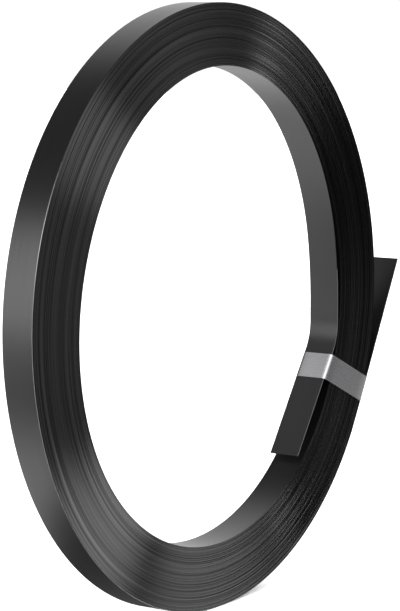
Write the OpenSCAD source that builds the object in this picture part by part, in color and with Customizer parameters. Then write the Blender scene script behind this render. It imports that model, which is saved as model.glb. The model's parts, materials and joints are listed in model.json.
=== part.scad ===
// Hand coil of flat steel strapping, standing on its rim with its axis along Y.
// One length of painted strip is wound into a ring. Both of its ends stand off
// as short straight tails, and one flat metal tie holds them to the ring.

/* [Coil] */
// Outer diameter of the wound ring
coil_od = 331; // [270:1:420]
// Diameter of the bore inside the innermost full turn
bore_d = 256; // [200:1:270]

/* [Strip] */
// Width of the strip, which is also the width of the ring along its axis
strip_w = 19; // [12:0.5:32]
// Thickness of the strip
strip_t = 0.5; // [0.4:0.05:1]

/* [Inner end] */
// Angle above the X axis at which the last turn leaves the bore
inner_leave_a = 57; // [45:1:70]
// How far that loose turn bows away from the bore
inner_bow = 4.2; // [2:0.1:6]
// Angle at which the loose turn bends into the inner tail
inner_bend_a = -13; // [-16:1:-8]
// Gap between the bend and the bore
inner_bend_gap = 2; // [1:0.1:4]
// Length of strip over which it bends
inner_bend_l = 22; // [12:1:26]
// Angle at which the inner tail is cut off
inner_end_a = -49.5; // [-60:0.5:-45]
// Gap between the end of the inner tail and the bore
inner_end_gap = 4.5; // [2:0.1:6]

/* [Outer end] */
// Angle at which the outer tail leaves the ring
outer_leave_a = -28; // [-32:1:-26]
// Length of the outer tail beyond that point
outer_tail_l = 100; // [60:1:140]

/* [Tie] */
// Width of the tie
tie_w = 15.5; // [8:0.5:19]
// Thickness of the tie
tie_t = 0.5; // [0.3:0.05:0.8]
// Angle of the tie's middle
tie_a = -22.5; // [-25:0.5:-22]
// How far the tie is turned away from straight across the ring
tie_slant = -2; // [-4:0.5:4]
// Length of the tie's lapped joint on the back of the ring
tie_lap_l = 22; // [15:1:30]
// Clearance between the tie and the strip that it holds
tie_fit = 0.1; // [0.05:0.05:0.3]

/* [Hidden] */
$fn = 180;

coil_r = coil_od / 2;
bore_r = bore_d / 2;
wall = coil_r - bore_r;

// How deep the loose turn starts inside the ring, where the two are one strip
bed = 0.2;
// How far the outer tail's outside face stands above the ring at its foot
proud = 0.1;
// Points along the loose turn, and along its bend
loose_steps = 28;
bend_steps = 8;

// Point at radius r and angle a in the plane of the ring
function on_ring(r, a) = [r * cos(a), r * sin(a)];
// Unit vector at angle a
function dir(a) = on_ring(1, a);
// Angle of the line from p to q
function heading(p, q) = atan2(q[1] - p[1], q[0] - p[0]);

// The loose turn's centre line, with u running from 0 where it leaves the bore
// to 1 where it bends: it starts inside the ring, bows away, and comes back
function loose_gap(u) = inner_bow * sin(180 * u * u) + (inner_bend_gap + bed) * u * u;
function loose_r(u) = bore_r + bed + strip_t / 2 - loose_gap(u) - strip_t * min(1, 4 * u);
function loose_point(u) =
    on_ring(loose_r(u), inner_leave_a + (inner_bend_a - inner_leave_a) * u);

// The bend takes over from the loose turn at bend_from_u. It is a curve, and its
// corner lies outside it by bend_rise
bend_from_u = 1 - inner_bend_l / 2 / (bore_r * (inner_leave_a - inner_bend_a) * PI / 180);
bend_in = loose_point(bend_from_u);
tail_end = on_ring(bore_r - inner_end_gap - strip_t / 2, inner_end_a);
rough_corner = on_ring(bore_r - inner_bend_gap, inner_bend_a);
rough_out = rough_corner + inner_bend_l / 2 * dir(heading(rough_corner, tail_end));
bend_rise = norm(bend_in + rough_out - 2 * rough_corner) / 4;
bend_corner = on_ring(bore_r - inner_bend_gap - strip_t / 2 + bend_rise, inner_bend_a);
tail_a = heading(bend_corner, tail_end);
bend_out = bend_corner + inner_bend_l / 2 * dir(tail_a);
function bend_point(u) =
    (1 - u) * (1 - u) * bend_in + 2 * u * (1 - u) * bend_corner + u * u * bend_out;

inner_line = concat(
    [for (i = [0:loose_steps - 1]) loose_point(bend_from_u * i / loose_steps)],
    [for (i = [0:bend_steps]) bend_point(i / bend_steps)],
    [tail_end]);

// The outer tail runs straight on from the outermost turn, square to this
// angle, with its outside face a hair proud of the ring
outer_a = outer_leave_a + 90;
outer_foot = on_ring(coil_r + proud - strip_t / 2, outer_leave_a);
outer_line = [outer_foot, outer_foot + outer_tail_l * dir(outer_a)];

// Heading of a line at its point i, as the mean of the steps beside it
function line_a(line, i) =
    let (from = line[max(i - 1, 0)], to = line[min(i + 1, len(line) - 1)])
    heading(from, to);
// Outline of a strip of thickness t laid along a line
function strip_outline(line, t) = concat(
    [for (i = [0:len(line) - 1]) line[i] + t / 2 * dir(line_a(line, i) + 90)],
    [for (i = [len(line) - 1:-1:0]) line[i] - t / 2 * dir(line_a(line, i) + 90)]);

// Distance from the ring's centre to the inner tail's bore-side face, square
// to the tail, and the angle at which it is measured
inner_face_a = tail_a + 90;
inner_face_r = tail_end * dir(inner_face_a) - strip_t / 2;
// Distance to the outer tail's outside face
outer_face_r = coil_r + proud;

// The ring stands on z = 0, and its tails count in the middle of its length
tail_x = max([for (p = strip_outline(outer_line, strip_t)) p[0]]);
mid_x = (max(tail_x, coil_r) - coil_r) / 2;

// Places a shape drawn in the plane of the ring
module in_place() {
    translate([-mid_x, 0, coil_r]) rotate([90, 0, 0]) children();
}

// A slab of width w that fills the plane beyond distance r at angle a
module beyond(r, a, w) {
    big = 2 * coil_od;
    rotate([0, 0, a]) translate([r, -big / 2, -w / 2]) cube([big, big, w]);
}

// Places a shape along the tie's centre line, from the middle of the ring's wall
module along_tie() {
    translate(on_ring((coil_r + bore_r) / 2, tie_a)) rotate([0, 0, tie_a + tie_slant])
        children();
}

// The body that the tie is bent around, grown by c on every side, and w wide
module tied_body(c, w) {
    thick = strip_w + 2 * c;
    difference() {
        along_tie() translate([-bore_r / 2, -w / 2, -thick / 2]) cube([bore_r, w, thick]);
        rotate([0, 0, 180]) beyond(-(inner_face_r - c), inner_face_a, thick + 1);
        beyond(outer_face_r + c, outer_leave_a, thick + 1);
    }
}

// The wound ring and both of its tails, one strip from end to end
module strip_coil() {
    color([0.13, 0.13, 0.14]) in_place() union() {
        difference() {
            cylinder(h = strip_w, r = coil_r, center = true);
            cylinder(h = strip_w + 1, r = bore_r, center = true);
        }
        linear_extrude(height = strip_w, center = true)
            polygon(strip_outline(inner_line, strip_t));
        linear_extrude(height = strip_w, center = true)
            polygon(strip_outline(outer_line, strip_t));
    }
}

// The tie, bent round the ring and both tails, its ends lapped on the back
module tie_strip() {
    color([0.6, 0.6, 0.61]) in_place() union() {
        difference() {
            tied_body(tie_fit + tie_t, tie_w);
            tied_body(tie_fit, tie_w + 1);
        }
        difference() {
            along_tie()
                translate([wall / 2 - tie_lap_l, -tie_w / 2, -strip_w / 2 - tie_fit - 2 * tie_t])
                cube([bore_r, tie_w, tie_t]);
            beyond(outer_face_r + tie_fit + tie_t, outer_leave_a, 2 * strip_w);
        }
    }
}

strip_coil();
tie_strip();
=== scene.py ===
import json
from math import atan2, cos, pi, radians, sin

import bpy
import numpy as np
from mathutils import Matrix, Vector

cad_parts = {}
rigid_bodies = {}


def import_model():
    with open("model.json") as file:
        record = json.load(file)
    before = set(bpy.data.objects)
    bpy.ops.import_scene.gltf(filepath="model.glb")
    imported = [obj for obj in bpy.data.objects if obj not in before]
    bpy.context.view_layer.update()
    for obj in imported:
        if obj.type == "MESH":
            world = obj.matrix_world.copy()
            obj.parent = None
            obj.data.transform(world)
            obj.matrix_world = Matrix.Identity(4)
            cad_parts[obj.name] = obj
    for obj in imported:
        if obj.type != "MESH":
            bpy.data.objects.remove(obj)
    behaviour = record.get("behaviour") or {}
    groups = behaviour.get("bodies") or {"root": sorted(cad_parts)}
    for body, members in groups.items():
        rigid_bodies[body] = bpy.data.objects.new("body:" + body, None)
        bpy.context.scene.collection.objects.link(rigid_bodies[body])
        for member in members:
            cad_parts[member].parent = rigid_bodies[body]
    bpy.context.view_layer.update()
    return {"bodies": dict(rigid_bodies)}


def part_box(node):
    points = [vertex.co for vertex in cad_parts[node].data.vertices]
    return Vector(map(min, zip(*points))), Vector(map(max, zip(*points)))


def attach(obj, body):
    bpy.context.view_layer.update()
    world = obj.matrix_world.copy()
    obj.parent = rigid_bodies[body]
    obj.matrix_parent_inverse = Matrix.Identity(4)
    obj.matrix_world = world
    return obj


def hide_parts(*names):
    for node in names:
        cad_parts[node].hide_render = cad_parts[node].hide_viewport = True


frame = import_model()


# ---------------------------------------------------------------- the coiled strip
# One length of flat steel strapping, cold rolled, slit to width and painted
# black. It is wound on edge-guided plates, turn on turn, and its two ends are
# left standing off the ring as short straight tails.

MM = 0.001
body = next(iter(frame["bodies"]))
ring_low, ring_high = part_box("strip_coil")
coil_r = (ring_high.z - ring_low.z) / 2
ring_x = ring_low.x + coil_r
ring_z = ring_low.z + coil_r
strip_half = (ring_high.y - ring_low.y) / 2

bore_r = 128 * MM
strip_t = 0.5 * MM
full_turns = 66
steps = 170                 # points in one turn
slack = 0.02 * MM           # mean gap between two turns, past their paint and waviness
gap_spread = 1.2            # how uneven the gaps are: the spread of their logarithm
widest_gap = 3.5            # the widest gap, where a middling one is 1
first_rise = 0.05 * MM      # how far the first turn rises past the strip's thickness
evened = 4                  # points on each side over which a radius is evened out
front_seed = 7
back_seed = 8
strip_seed = 5

edge_round = 0.16 * MM      # how far the slit edges are crowned
edge_wander = 0.08 * MM     # how far a turn may lie off the line of its neighbours
wander_spread = 0.5         # the usual share of that
ridge = -0.75               # where the crown's ridge lies, from -1 inside to 1 outside
ridge_spread = 0.08         # how much that differs from turn to turn
ridge_range = (-0.95, 0.2)
tail_round = 0.12 * MM      # the crown and its ridge on the inner tail and the loose turn
tail_ridge = 0.4
worn_round = 0.02 * MM      # how much more the worn edge is rounded
worn_turns = 0.51           # turns before the outer tail where the worn edge starts
worn_fade = 9               # points over which it starts
worn_shift = 0.75           # how far wear moves the ridge outwards
worn_bare = 0.7             # how bare it leaves the edge, from 0 to 1
tail_bare = 0.15            # how bare the inner tail's edges are
paint_mean = 0.2            # how shiny the turns' paint is, where 0 is usual
paint_spread = 1.0          # how much that differs from turn to turn
outer_tone_swing = 0.6          # how much it differs round the outermost turn
swing_start_a = radians(165)     # an angle at which that turn's tone is as usual

leave_a = radians(57)       # where the innermost turn leaves the bore
bend_a = radians(-13)       # where it bends into the inner tail
end_a = radians(-49.5)      # where the inner tail is cut off
inner_bow = 4.2 * MM
bend_gap = 2.0 * MM
bend_l = 22 * MM
end_gap = 4.5 * MM
bed = 0.2 * MM              # how deep the loose turn starts inside the ring
settled = 0.45              # share of the loose turn over which it clears the bore
tail_points = 12
bend_points = 10
loose_points = 30
painted_points = 24         # the loose turn's points, from the ring, with unworn edges

foot_a = radians(-28)       # where the outer tail leaves the ring
foot_proud = 0.1 * MM
outer_tail_l = 100 * MM
outer_points = 16


def on_ring(r, a):
    """Point at radius r and angle a in the plane of the ring."""
    return np.array([r * np.cos(a), r * np.sin(a)])


def unit(a):
    return on_ring(1.0, a)


def heading(p, q):
    return atan2(q[1] - p[1], q[0] - p[0])


def smooth(x):
    """Eases from 0 to 1 as x goes from 0 to 1."""
    x = np.clip(x, 0, 1)
    return x * x * (3 - 2 * x)


def bore_edge(a):
    """Radius of the bore at angle a: hand wound, so a few millimetres out of round."""
    return bore_r + MM * (0.3 - 2.2 * np.cos(2 * a) + 1.4 * np.sin(2 * a)
                          - 0.3 * np.cos(3 * a) - 1.0 * np.sin(3 * a))


def wander(rng, count, per_turn, spread):
    """A smooth random value along the winding, with per_turn free points in a turn."""
    knots = rng.normal(0, 1, (count // steps + 4) * per_turn)
    at = np.arange(count) / steps * per_turn
    low = at.astype(int)
    part = smooth(at - low)
    return (knots[low] * (1 - part) + knots[low + 1] * part) * spread


def wound_radii(angles, seed):
    """Radius of the strip's middle along one edge of the wound turns, and their thickness."""
    rng = np.random.default_rng(seed)
    count = len(angles)
    gaps = np.exp(wander(rng, count, 6, gap_spread)).clip(max=widest_gap)
    first = bore_edge(angles[:steps]) + strip_t / 2
    first += np.arange(steps) / steps * (strip_t + first_rise)
    last = coil_r - strip_t / 2
    pitch = (last - bore_r) / full_turns
    taken = np.zeros(steps)
    share = np.zeros(steps)
    for j in range(steps):
        mine = np.arange(j, count, steps)
        turns = len(mine) - 1
        # the outermost turn climbs to full size in its first quarter, and in
        # its last eighth to the foot of the tail
        at = (mine[-1] - (count - steps)) / steps
        outer = last - pitch * (1 - smooth(at * 4)) + foot_proud * smooth(at * 8 - 7)
        taken[j] = (outer - first[j]) / turns - slack
        share[j] = turns * slack / gaps[mine[1:]].sum()
    radii = np.empty(count)
    radii[:steps] = first
    for i in range(steps, count):
        radii[i] = radii[i - steps] + taken[i % steps] + gaps[i] * share[i % steps]
    before = 2 * radii[0] - radii[evened:0:-1]
    after = 2 * radii[-1] - radii[-2:-2 - evened:-1]
    run = np.concatenate([before, radii, after])
    window = 2 * evened + 1
    return np.convolve(run, np.ones(window) / window, mode="valid"), taken[np.arange(count) % steps]


def inner_end():
    """The inner tail, its bend and the loose turn, from the cut end to the ring."""
    tail_end = on_ring(bore_r - end_gap - strip_t / 2, end_a)
    u_bend = 1 - bend_l / 2 / (bore_r * (leave_a - bend_a))

    def loose(u):
        gap = inner_bow * sin(pi * u * u) + (bend_gap + bed) * u * u
        r = bore_r + bed + strip_t / 2 - gap - strip_t * min(1, 4 * u)
        a = leave_a + (bend_a - leave_a) * u
        free = smooth(u / settled)
        return on_ring((1 - free) * (bore_edge(a) + strip_t / 2) + free * r, a)

    bend_in = loose(u_bend)
    rough = on_ring(bore_r - bend_gap, bend_a)
    rough_out = rough + bend_l / 2 * unit(heading(rough, tail_end))
    rise = np.linalg.norm(bend_in + rough_out - 2 * rough) / 4
    corner = on_ring(bore_r - bend_gap - strip_t / 2 + rise, bend_a)
    bend_out = corner + bend_l / 2 * unit(heading(corner, tail_end))
    points = [tail_end + (bend_out - tail_end) * k / tail_points for k in range(tail_points)]
    for k in range(bend_points + 1):
        u = 1 - k / bend_points
        points.append((1 - u) ** 2 * bend_in + 2 * u * (1 - u) * corner + u * u * bend_out)
    points += [loose(u_bend * (1 - k / loose_points)) for k in range(1, loose_points)]
    return points


def outer_end():
    """The outer tail, straight on from the outermost turn."""
    foot = on_ring(coil_r + foot_proud - strip_t / 2, foot_a)
    way = unit(foot_a + pi / 2)
    return [foot + way * outer_tail_l * k / outer_points for k in range(1, outer_points + 1)]


def strip_mesh():
    turned = full_turns * 2 * pi + (foot_a + 2 * pi - leave_a)
    count = int(turned / (2 * pi) * steps)
    # the points fall on the same angles in every turn
    angles = leave_a + np.arange(count) * 2 * pi / steps
    inner = np.array(inner_end())
    outer = np.array(outer_end())
    # the turns lie a little differently along their front and back edges, so
    # each one leans a hair and closes the gaps that its neighbours leave
    front_radii, wound_t = wound_radii(angles, front_seed)
    back_radii, wound_t = wound_radii(angles, back_seed)
    front_line = np.concatenate([inner, on_ring(front_radii, angles).T, outer])
    back_line = np.concatenate([inner, on_ring(back_radii, angles).T, outer])
    line = (front_line + back_line) / 2
    n = len(line)

    # each turn stands in or out a hair, its crown leans, and its paint varies
    rng = np.random.default_rng(strip_seed)
    off = np.zeros(n)
    lean = np.zeros(n)
    tone = np.zeros(n)
    wound = slice(len(inner), len(inner) + count)
    done = np.arange(count)
    left = count - done
    ease = smooth(done / steps) * smooth(left / steps)
    off[wound] = np.clip(wander(rng, count, 5, wander_spread), -1, 1) * edge_wander * ease
    lean[wound] = wander(rng, count, 4, ridge_spread) * ease
    tone[wound] = (paint_mean + wander(rng, count, 5, paint_spread)) * ease
    # the outermost turn shows its own face; its tone and shine rise and fall twice round the ring,
    # fading out towards the outer tail
    outermost = smooth((1.4 * steps - left) / (0.2 * steps))
    near_tail = smooth(left / (0.2 * steps))
    outer_swing = outer_tone_swing * np.sin(2 * (angles - swing_start_a)) * near_tail
    tone[wound] += (outer_swing - tone[wound]) * outermost

    # the slit edges slope outwards; on the last half turn and on the outer tail
    # the corner that shows is rubbed towards bare steel
    round_off = np.full(n, edge_round)
    crown_at = np.clip(ridge + lean, *ridge_range)
    worn_from = len(inner) + count - worn_turns * steps
    worn_out = smooth((np.arange(n) - worn_from) / worn_fade)
    round_off += worn_out * worn_round
    crown_at += worn_out * worn_shift
    round_off[:len(inner)] = tail_round
    crown_at[:len(inner)] = tail_ridge

    along = np.gradient(line, axis=0)
    along /= np.linalg.norm(along, axis=1)[:, None]
    side = np.stack([along[:, 1], -along[:, 0]], axis=1)     # away from the bore
    length = np.concatenate([[0], np.cumsum(np.linalg.norm(np.diff(line, axis=0), axis=1))])

    half = strip_half - edge_wander
    # between its ends the wound strip fills its share of the wall, paint and all
    thick = strip_t / 2 * np.ones(n)
    thick[wound] += (wound_t - strip_t) / 2 * smooth(ease * 8)
    crown = crown_at * strip_t / 2
    flat = half - round_off
    # the section, once round: inside face, back edge, outside face, front edge
    section = [
        (-thick, -flat), (-thick, flat), (crown, half),
        (thick, flat), (thick, -flat), (crown, -half),
    ]
    k = len(section)
    verts = np.empty((n, k, 3))
    for c, (across, y) in enumerate(section):
        edge_line = back_line if c in (1, 2, 3) else front_line
        spot = edge_line + side * across[:, None]
        verts[:, c, 0] = ring_x + spot[:, 0]
        verts[:, c, 1] = y + off
        verts[:, c, 2] = ring_z + spot[:, 1]

    quads = []
    base = np.arange(n - 1) * k
    for c in range(k):
        d = (c + 1) % k
        quads.append(np.stack([base + c, base + d, base + k + d, base + k + c], axis=1))
    faces = np.concatenate(quads).tolist()
    faces.append(list(range(k - 1, -1, -1)))
    faces.append([(n - 1) * k + c for c in range(k)])

    mesh = bpy.data.meshes.new("steel_strip")
    mesh.from_pydata(verts.reshape(-1, 3).tolist(), [], faces)
    mesh.update()
    mesh.polygons.foreach_set("use_smooth", np.ones(len(mesh.polygons), dtype=bool))

    # the corners between the wide faces and the edges stay crisp
    ends = np.empty(len(mesh.edges) * 2, dtype=np.int32)
    mesh.edges.foreach_get("vertices", ends)
    ends = ends.reshape(-1, 2)
    place = ends % k
    corner = place[:, 0] == place[:, 1]
    cut = (ends < k).all(1) | (ends >= (n - 1) * k).all(1)
    sharp = mesh.attributes.new("sharp_edge", "BOOLEAN", "EDGE")
    sharp.data.foreach_set("value", corner | cut)

    # 0 on the wide faces, 1 on the outward slope of a slit edge, more where its
    # paint is rubbed off, 2 on the cut ends, and -1 on an edge's torn inward slope
    kind = np.zeros((k, n - 1))
    kind[[2, 4]] = 1 + worn_bare * worn_out[1:]
    kind[[1, 5]] = -1
    kind[[1, 5], :len(inner) - painted_points] = 1 + tail_bare
    face_kind = mesh.attributes.new("face_kind", "FLOAT", "FACE")
    face_kind.data.foreach_set("value", np.concatenate([kind.ravel(), [2, 2]]))

    shade = mesh.attributes.new("turn_tone", "FLOAT", "POINT")
    shade.data.foreach_set("value", np.repeat(tone, k))
    run = mesh.uv_layers.new(name="strip_run")
    loops = np.empty(len(mesh.loops), dtype=np.int32)
    mesh.loops.foreach_get("vertex_index", loops)
    uv = np.stack([length[loops // k], verts.reshape(-1, 3)[loops, 1]], axis=1)
    run.data.foreach_set("uv", uv.ravel())
    return mesh


def ranged(tree, value, start, end, low, high):
    """Runs from low to high as the value runs from start to end, and no further."""
    node = tree.nodes.new("ShaderNodeMapRange")
    node.inputs["From Min"].default_value = start
    node.inputs["From Max"].default_value = end
    node.inputs["To Min"].default_value = low
    node.inputs["To Max"].default_value = high
    tree.links.new(value, node.inputs["Value"])
    return node.outputs["Result"]


def times(tree, first, second):
    node = tree.nodes.new("ShaderNodeMath")
    node.operation = "MULTIPLY"
    tree.links.new(first, node.inputs[0])
    tree.links.new(second, node.inputs[1])
    return node.outputs["Value"]


def painted_steel():
    """Black stoving paint: satin, faintly streaked along the strip, thin at the edges."""
    mat = bpy.data.materials.new("black_strap_paint")
    mat.use_nodes = True
    tree = mat.node_tree
    nodes, links = tree.nodes, tree.links
    paint = nodes["Principled BSDF"]
    paint.inputs["IOR"].default_value = 1.5

    run = nodes.new("ShaderNodeUVMap")
    run.uv_map = "strip_run"
    stretch = nodes.new("ShaderNodeMapping")
    stretch.inputs["Scale"].default_value = (18, 900, 1)
    links.new(run.outputs["UV"], stretch.inputs["Vector"])
    streaks = nodes.new("ShaderNodeTexNoise")
    streaks.inputs["Scale"].default_value = 1.0
    streaks.inputs["Detail"].default_value = 3.0
    links.new(stretch.outputs["Vector"], streaks.inputs["Vector"])

    turn = nodes.new("ShaderNodeAttribute")
    turn.attribute_name = "turn_tone"
    face = nodes.new("ShaderNodeAttribute")
    face.attribute_name = "face_kind"

    # the paint, and the bare steel where it is rubbed off
    colour = nodes.new("ShaderNodeMix")
    colour.data_type = "RGBA"
    colour.inputs["A"].default_value = (0.0004, 0.0004, 0.0004, 1)
    colour.inputs["B"].default_value = (0.004, 0.004, 0.004, 1)
    links.new(ranged(tree, turn.outputs["Fac"], -1.5, 2, 0, 1), colour.inputs["Factor"])
    bare = ranged(tree, face.outputs["Fac"], 1, 2, 0, 1)
    links.new(bare, paint.inputs["Metallic"])
    finish = nodes.new("ShaderNodeMix")
    finish.data_type = "RGBA"
    finish.inputs["B"].default_value = (0.45, 0.45, 0.46, 1)
    links.new(bare, finish.inputs["Factor"])
    links.new(colour.outputs["Result"], finish.inputs["A"])
    links.new(finish.outputs["Result"], paint.inputs["Base Color"])

    # torn edges shine least, and every turn differs a little
    torn = ranged(tree, face.outputs["Fac"], -1, 0, 0.08, 0.5)
    patchy = ranged(tree, turn.outputs["Fac"], -2, 2, 0.25, 1.75)
    links.new(times(tree, torn, patchy), paint.inputs["Specular IOR Level"])

    # the slit edges are smoother than the wide faces
    rough = ranged(tree, streaks.outputs["Fac"], 0, 1, 0.32, 0.40)
    slit = ranged(tree, face.outputs["Fac"], 0, 1, 1, 0.36)
    links.new(times(tree, rough, slit), paint.inputs["Roughness"])

    bump = nodes.new("ShaderNodeBump")
    bump.inputs["Strength"].default_value = 0.03
    bump.inputs["Distance"].default_value = 0.2 * MM
    links.new(streaks.outputs["Fac"], bump.inputs["Height"])
    links.new(bump.outputs["Normal"], paint.inputs["Normal"])
    return mat


def shown(name, mesh, material):
    piece = bpy.data.objects.new(name, mesh)
    bpy.context.scene.collection.objects.link(piece)
    mesh.materials.append(material)
    return piece


steel_strip = shown("steel_strip", strip_mesh(), painted_steel())
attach(steel_strip, body)
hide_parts("strip_coil")


# ---------------------------------------------------------------- the tie
# A short length of thin bare steel strip, bent round the ring and both tails
# with pliers-tight corners. Its ends lap on the back of the ring.

tie_w = 15.5 * MM
tie_t = 0.5 * MM
tie_a = radians(-22.5)
tie_slant = radians(-2)
tie_fit = 0.1 * MM
lap_l = 22 * MM
lap_short = 1.2 * MM        # how far the over end stops short of the tie's outer corner
step_from = 2.2 * MM        # how far before the under end the over end starts its step
step_to = 0.4 * MM          # and where the step is done
bend_r = 1.8 * MM           # inside radius of the tie's bends
flat_y = 4 * MM             # half the length left flat along the wide faces of the ring
across_steps = 6
bend_steps = 6


def arc(cs, cy, r, a0, a1):
    """Points round a bend, with s along the tie and y along the coil's axis."""
    turns = [a0 + (a1 - a0) * i / bend_steps for i in range(bend_steps + 1)]
    return [(cs + r * cos(a), cy + r * sin(a)) for a in turns]


def tie_loop(s_in, s_out, grow):
    """One face of the tie: from its under end on the back, round the outside, across
    the front, round the bore side, and over the under end."""
    r = bend_r + grow
    lap_s = s_out - lap_l
    so, si = s_out - bend_r, s_in + bend_r
    half_y = strip_half + tie_fit
    yf, yb = bend_r - half_y, half_y - bend_r
    back = half_y + grow
    path = [(lap_s + lap_l * part, back) for part in (0, 0.35, 0.7)]
    path += arc(so, yb, r, pi / 2, 0)
    path += [(s_out + grow, y) for y in (flat_y, -flat_y)]
    path += arc(so, yf, r, 0, -pi / 2)
    path += [(so + (si - so) * i / 6, -half_y - grow) for i in range(1, 6)]
    path += arc(si, yf, r, -pi / 2, -pi)
    path += [(s_in - grow, y) for y in (-flat_y, flat_y)]
    path += arc(si, yb, r, pi, pi / 2)
    path += [(si + (lap_s - step_from - si) * i / 3, back) for i in range(1, 4)]
    path += [(lap_s - step_to, back + tie_t)]
    path += [(lap_s + (lap_l - lap_short) * i / 4, back + tie_t) for i in range(5)]
    return path


def tie_mesh():
    middle = on_ring((coil_r + bore_r) / 2, tie_a)
    way = unit(tie_a + tie_slant)
    over = np.array([-way[1], way[0]])
    tail = inner_end()[:tail_points]
    inner_n = unit(heading(tail[-1], tail[0]) + pi / 2)
    inner_d = float(tail[0] @ inner_n) - strip_t / 2
    outer_n = unit(foot_a)
    outer_d = coil_r + foot_proud

    def reach(normal, distance, v):
        """Where the line at offset v along the tie meets a tail's face."""
        start = middle + over * v
        return (distance - start @ normal) / (way @ normal)

    verts = []
    for j in range(across_steps + 1):
        v = tie_w * (j / across_steps - 0.5)
        s_in = reach(inner_n, inner_d - tie_fit, v)
        s_out = reach(outer_n, outer_d + tie_fit, v)
        inside = tie_loop(s_in, s_out, 0)
        outside = tie_loop(s_in, s_out, tie_t)
        for s, y in inside + outside:
            p = middle + way * s + over * v
            verts.append((ring_x + p[0], y, ring_z + p[1]))

    count = len(inside)
    per = 2 * count
    faces = []
    for j in range(across_steps):
        a, b = j * per, (j + 1) * per
        for i in range(count - 1):
            faces.append((a + i, a + i + 1, b + i + 1, b + i))
            faces.append((a + count + i, b + count + i, b + count + i + 1, a + count + i + 1))
        faces.append((a, b, b + count, a + count))
        faces.append((a + count - 1, a + per - 1, b + per - 1, b + count - 1))
    for j, flip in ((0, False), (across_steps, True)):
        a = j * per
        for i in range(count - 1):
            quad = (a + i, a + count + i, a + count + i + 1, a + i + 1)
            faces.append(quad[::-1] if flip else quad)
    mesh = bpy.data.meshes.new("tie_band")
    mesh.from_pydata(verts, [], faces)
    mesh.update()
    mesh.polygons.foreach_set("use_smooth", np.ones(len(mesh.polygons), dtype=bool))
    mesh.set_sharp_from_angle(angle=radians(35))
    return mesh


def bare_steel():
    """Thin zinc-grey strip, with rolled lines along its length."""
    mat = bpy.data.materials.new("bare_tie_steel")
    mat.use_nodes = True
    tree = mat.node_tree
    nodes, links = tree.nodes, tree.links
    steel = nodes["Principled BSDF"]
    steel.inputs["Metallic"].default_value = 1.0
    steel.inputs["Base Color"].default_value = (0.43, 0.43, 0.44, 1)
    where = nodes.new("ShaderNodeTexCoord")
    noise = nodes.new("ShaderNodeTexNoise")
    noise.inputs["Scale"].default_value = 1.0
    grain = nodes.new("ShaderNodeMapping")
    grain.vector_type = "TEXTURE"
    grain.inputs["Rotation"].default_value = (0, -tie_a - tie_slant, 0)
    grain.inputs["Scale"].default_value = (30 * MM, 30 * MM, 0.8 * MM)
    links.new(where.outputs["Object"], grain.inputs["Vector"])
    links.new(grain.outputs["Vector"], noise.inputs["Vector"])
    rough = ranged(tree, noise.outputs["Fac"], 0, 1, 0.24, 0.30)
    links.new(rough, steel.inputs["Roughness"])
    return mat


tie_band = shown("tie_band", tie_mesh(), bare_steel())
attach(tie_band, body)
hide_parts("tie_strip")


# ---------------------------------------------------------------- floor, light and camera
# A plain pale floor under even studio light. None of it is part of the coil.

floor_mesh = bpy.data.meshes.new("floor")
floor_mesh.from_pydata([(-6, -4, 0), (6, -4, 0), (6, 8, 0), (-6, 8, 0)], [], [(0, 1, 2, 3)])
floor_paint = bpy.data.materials.new("floor_paint")
floor_paint.use_nodes = True
floor_coat = floor_paint.node_tree.nodes["Principled BSDF"]
floor_coat.inputs["Base Color"].default_value = (0.9, 0.9, 0.9, 1)
floor_coat.inputs["Roughness"].default_value = 0.9
floor = shown("floor", floor_mesh, floor_paint)
floor.visible_glossy = False

centre = Vector((ring_x, 0, ring_z))

# soft boxes stand all round: the way each one lies, its half width in degrees, how
# many more it fades out over, and how bright it is
soft_boxes = {
    "low_back_wide": ((0.12, 0.56, -0.82), 22, 44, 1.65),
    "low_back": ((-0.41, 0.56, -0.72), 5, 14, 1.05),
    "high_right": ((0.72, 0.56, 0.40), 20, 20, 1.35),
    "high_back": ((-0.20, 0.56, 0.80), 10, 30, 0.06),
    "front": ((0.36, -0.93, 0.16), 12, 33, 0.32),
    "front_low": ((0.50, -0.74, -0.45), 3, 13, 2.4),
    "right_low": ((0.83, -0.34, -0.45), 6, 16, 1.2),
    "right": ((0.937, -0.303, 0.17), 1, 6, 2.3),
    "right_high": ((0.79, -0.55, 0.28), 6, 15, 0.2),
    "front_high": ((0.43, -0.87, 0.23), 2, 7, 1.0),
    "by_camera": ((-0.70, -0.70, 0.05), 8, 20, 1.5),
    "above_camera": ((-0.28, -0.75, 0.59), 12, 28, 2.4),
    "above": ((-0.62, -0.05, 0.78), 14, 19, 1.4),
    "right_back": ((0.75, 0.56, -0.35), 15, 20, 0.2),
    "right_side": ((0.965, -0.21, 0.12), 4, 11, 0.5),
    "right_foot": ((0.955, -0.01, -0.29), 4, 7, 2.0),
}
fill = 0.055                # how bright the room is between the boxes
backdrop_glow = 1.1

world = bpy.data.worlds.new("studio")
world.use_nodes = True
tree = world.node_tree
nodes, links = tree.nodes, tree.links
studio = nodes["Background"]
studio.inputs["Color"].default_value = (1, 1, 1, 1)
where = nodes.new("ShaderNodeTexCoord")
total = None
for way, half, fade, power in soft_boxes.values():
    towards = nodes.new("ShaderNodeVectorMath")
    towards.operation = "DOT_PRODUCT"
    towards.inputs[1].default_value = Vector(way).normalized()
    links.new(where.outputs["Generated"], towards.inputs[0])
    glow = nodes.new("ShaderNodeMapRange")
    glow.interpolation_type = "SMOOTHSTEP"
    glow.inputs["From Min"].default_value = cos(radians(half + fade))
    glow.inputs["From Max"].default_value = cos(radians(half))
    glow.inputs["To Max"].default_value = power
    links.new(towards.outputs["Value"], glow.inputs["Value"])
    add = nodes.new("ShaderNodeMath")
    add.inputs[1].default_value = fill
    links.new(glow.outputs["Result"], add.inputs[0])
    if total:
        links.new(total, add.inputs[1])
    total = add.outputs["Value"]
links.new(total, studio.inputs["Strength"])
backdrop = nodes.new("ShaderNodeBackground")
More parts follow.
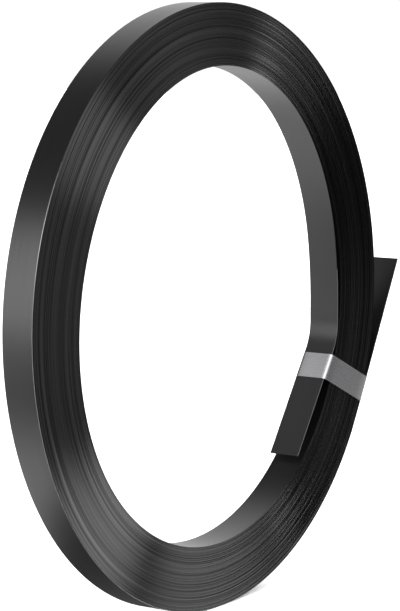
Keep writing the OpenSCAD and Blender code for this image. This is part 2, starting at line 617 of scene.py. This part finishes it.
backdrop.inputs["Color"].default_value = (1, 1, 1, 1)
backdrop.inputs["Strength"].default_value = backdrop_glow
seen = nodes.new("ShaderNodeLightPath")
either = nodes.new("ShaderNodeMixShader")
links.new(seen.outputs["Is Camera Ray"], either.inputs["Fac"])
links.new(studio.outputs["Background"], either.inputs[1])
links.new(backdrop.outputs["Background"], either.inputs[2])
links.new(either.outputs["Shader"], nodes["World Output"].inputs["Surface"])
bpy.context.scene.world = world

overhead = bpy.data.lights.new("overhead", "SUN")
overhead.energy = 5.0
overhead.angle = radians(170)
overhead_lamp = bpy.data.objects.new("overhead", overhead)
overhead_lamp.visible_glossy = False
bpy.context.scene.collection.objects.link(overhead_lamp)


def card(name, corners, glow):
    """A flat card in the floor that only the coil's shiny faces can see."""
    mesh = bpy.data.meshes.new(name)
    mesh.from_pydata([(x, y, -MM) for x, y in corners], [], [tuple(range(len(corners)))])
    paint = bpy.data.materials.new(name + "_paint")
    paint.use_nodes = True
    surface = paint.node_tree.nodes["Principled BSDF"]
    surface.inputs["Base Color"].default_value = (0.01, 0.01, 0.01, 1)
    surface.inputs["Emission Color"].default_value = (1, 1, 1, 1)
    surface.inputs["Emission Strength"].default_value = glow
    thing = shown(name, mesh, paint)
    thing.visible_camera = False
    thing.visible_diffuse = False
    thing.visible_shadow = False


def soft_lamp(name, place, size, power):
    """A soft lamp of the given width and height, turned to the middle of the coil."""
    lamp = bpy.data.lights.new(name, "AREA")
    lamp.shape = "RECTANGLE"
    lamp.size, lamp.size_y = size
    lamp.energy = power
    thing = bpy.data.objects.new(name, lamp)
    thing.location = place
    thing.rotation_euler = (centre - Vector(place)).to_track_quat("-Z", "Y").to_euler()
    thing.visible_camera = False
    bpy.context.scene.collection.objects.link(thing)


soft_lamp("left_back", (-0.748, 0.394, 0.326), (0.30, 0.48), 2.6)
soft_lamp("near_back", (-0.085, 0.224, 0.38), (0.12, 0.12), 0.038)
# the first card is painted shade: a dim sheet standing for the ring's shadow on the floor, which
# only the coil's reflections see
card("contact_shade", [(-0.3, -0.005), (0.1, -0.005), (0.1, 0.06), (-0.3, 0.06)], 0.13)
card("floor_bounce", [(0.06, 0.1), (0.06, 0.5), (-0.85, 0.85), (-0.85, 0.47), (0, 0.12)], 2.6)

# the camera stands off the coil's centre: how far, and how far to its own right and
# down the coil lies from the middle of its view
yaw = radians(55.64)
pitch = radians(7.03)
reach = 8.362 * coil_r
aim_right = 0.0196 * coil_r
aim_down = 0.0062 * coil_r
forward = Vector((cos(pitch) * sin(yaw), cos(pitch) * cos(yaw), -sin(pitch)))
right = Vector((cos(yaw), -sin(yaw), 0))
down = forward.cross(right)
lens = bpy.data.cameras.new("camera")
lens.sensor_width = 36
lens.lens = 149.38527
lens.clip_end = 50
camera = bpy.data.objects.new("camera", lens)
camera.location = centre - forward * reach - right * aim_right - down * aim_down
camera.rotation_euler = forward.to_track_quat("-Z", "Y").to_euler()
bpy.context.scene.collection.objects.link(camera)
bpy.context.scene.camera = camera
bpy.context.scene.view_settings.view_transform = "Standard"
